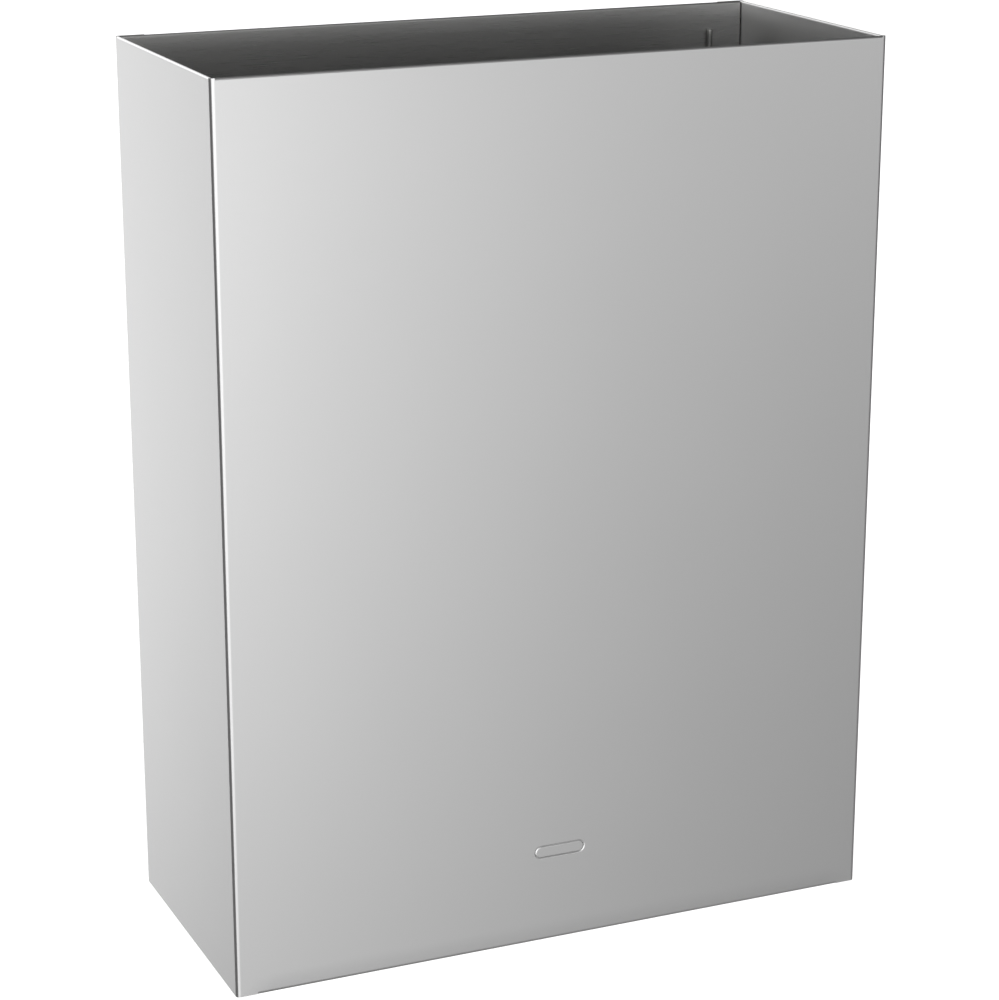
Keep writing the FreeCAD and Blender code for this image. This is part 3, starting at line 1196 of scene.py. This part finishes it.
@dataclass
class Studio:
    """Pale floor, soft all-round light made of a few large cards, and the camera."""

    ambient: float = 0.06
    cards: tuple[Card, ...] = (
        Card("front left, broad", -12, -5, 6, 1.74),
        Card("front left, edge", -39, -20, 60, 1.2),
        Card("front left, high", -44, 17, 14, 1.9),
        Card("front", 9, -10, 60, 1.45),
        Card("front right", 38, 2, 40, 0.85),
        Card("right, low", 85, -50, 3, 0.3),
        Card("right rear", 135, -8, 8, 0.35),
        Card("rear, low", 177, -17, 20, 2.8),
        Card("rear, high", -171, 18, 15, 1.9),
        Card("left, low", -110, -19, 12, 0.22),
        Card("overhead, front", 0, 62, 12, 0.9),
    )
    floor_reach: float = 14.0
    floor_drop: float = 0.05 * MM
    floor_tint: str = "fbfbfb"
    floor_glow: float = 0.93
    camera_azimuth: float = -23.46
    camera_elevation: float = 17.06
    camera_distance: float = 1.4788
    camera_aim: tuple[float, float] = (-0.00064, -0.01178)
    camera_lens: float = 102.94

    def build(self) -> None:
        """Builds the floor, the light and the camera."""
        self._floor()
        self._light()
        self._camera()

    def _floor(self) -> None:
        """A pale matt floor just under the bin, lit from within so that it stays even."""
        xs = stations(-self.floor_reach, self.floor_reach, self.floor_reach / 4)
        places = np.stack([*np.meshgrid(xs, xs), np.full((len(xs), len(xs)), -self.floor_drop)], axis=-1)
        faces = grid_faces(np.arange(len(xs) ** 2).reshape(len(xs), len(xs))).reshape(-1, 4)
        floor = make_object("studio_floor", places.reshape(-1, 3), faces)
        material, nodes = new_material("pale matt studio floor")
        shader = nodes.add("ShaderNodeBsdfPrincipled",
                           {"Base Color": linear(self.floor_tint), "Roughness": 0.9,
                            "Specular IOR Level": 0.1, "Emission Color": (1, 1, 1, 1),
                            "Emission Strength": self.floor_glow})
        nodes.add("ShaderNodeOutputMaterial", None, {"Surface": shader.outputs["BSDF"]})
        floor.data.materials.append(material)
        floor.visible_glossy = False
        floor.visible_shadow = False

    def _light(self) -> None:
        """The cards and the ambient value, added up as a world light; the camera itself sees plain white."""
        world = bpy.data.worlds.new("soft studio")
        bpy.context.scene.world = world
        world.use_nodes = True
        world.node_tree.nodes.clear()
        nodes = Nodes(world.node_tree)
        direction = nodes.add("ShaderNodeTexCoord").outputs["Generated"]
        total = None
        for card in self.cards:
            facing = nodes.add("ShaderNodeVectorMath", {"operation": "DOT_PRODUCT", 1: card.towards()},
                               {0: direction})
            lit = nodes.add("ShaderNodeMath", {"operation": "MAXIMUM", 1: 0.0}, {0: facing.outputs["Value"]})
            soft = nodes.add("ShaderNodeMath", {"operation": "POWER", 1: card.sharpness},
                             {0: lit.outputs[0]})
            add = nodes.add("ShaderNodeMath",
                            {"operation": "MULTIPLY_ADD", 1: card.strength, 2: self.ambient},
                            {0: soft.outputs[0]})
            add.label = card.name
            if total is not None:
                nodes.tree.links.new(total, add.inputs[2])
            total = add.outputs[0]
        studio = nodes.add("ShaderNodeBackground", {"Color": (1, 1, 1, 1)}, {"Strength": total})
        white = nodes.add("ShaderNodeBackground", {"Color": (1, 1, 1, 1), "Strength": 1.0})
        seen = nodes.add("ShaderNodeLightPath").outputs["Is Camera Ray"]
        both = nodes.add("ShaderNodeMixShader", None, {0: seen, 1: studio.outputs[0], 2: white.outputs[0]})
        nodes.add("ShaderNodeOutputWorld", None, {"Surface": both.outputs[0]})
        bpy.context.scene.view_settings.view_transform = "Standard"

    def _camera(self) -> None:
        """The camera, to the bin's left and above its rim, aimed a little below its middle."""
        a, e = math.radians(self.camera_azimuth), math.radians(self.camera_elevation)
        back = Vector((math.sin(a) * math.cos(e), -math.cos(a) * math.cos(e), math.sin(e)))
        right = Vector((math.cos(a), math.sin(a), 0.0))
        up = back.cross(right)
        low, high = CAD_BOX
        camera = bpy.data.objects.new("camera", bpy.data.cameras.new("camera"))
        bpy.context.scene.collection.objects.link(camera)
        camera.location = ((low + high) / 2 + back * self.camera_distance + right * self.camera_aim[0]
                           + up * self.camera_aim[1])
        camera.rotation_mode = "QUATERNION"
        camera.rotation_quaternion = (-back).to_track_quat("-Z", "Y")
        camera.data.lens = self.camera_lens
        camera.data.sensor_width = 36.0
        camera.data.clip_start, camera.data.clip_end = 0.05, 60.0
        bpy.context.scene.camera = camera


def main() -> None:
    """Builds the studio and every piece of the bin, and logs each piece."""
    logging.basicConfig(level=logging.INFO, format="%(message)s")
    Studio().build()
    finishes = Finishes.build()
    rules = SheetRules()
    hinge = Vector(next(j for j in frame["joints"] if j["name"] == "ring_hinge")["pos_m"])
    outside = (finishes.outside, Slot.OUTSIDE, Body.BIN)
    inside = (finishes.inside, Slot.INSIDE, Body.BIN)
    wire = (finishes.wire, Slot.WIRE)
    rubber = (finishes.rubber, Slot.RUBBER, Body.RING)
    jobs = [(OuterShell(rules, PressedMark()).build(), outside, "outer_shell"),
            (RearPanel(rules).build(), inside, "rear_panel"),
            (BasePan(rules).build(), inside, "base_pan"),
            (BagRing().build(), (*wire, Body.RING), "bag_ring")]
    for side, name in ((-1, "left"), (1, "right")):
        jobs += [(Hanger(side).build(hinge), (*wire, Body.BIN), name + "_hanger"),
                 (RingRest(rules, side).build(), inside, name + "_ring_rest"),
                 (RingSleeve(side).build(), rubber, name + "_ring_sleeve")]
    for piece, (material, slot, body), node in jobs:
        finish_piece(piece, material, body, node)
        LOG.info("%s: %d vertices, rides on %s", piece.name, len(piece.data.vertices), body.value)
    bpy.context.view_layer.update()


if __name__ == "__main__":
    main()
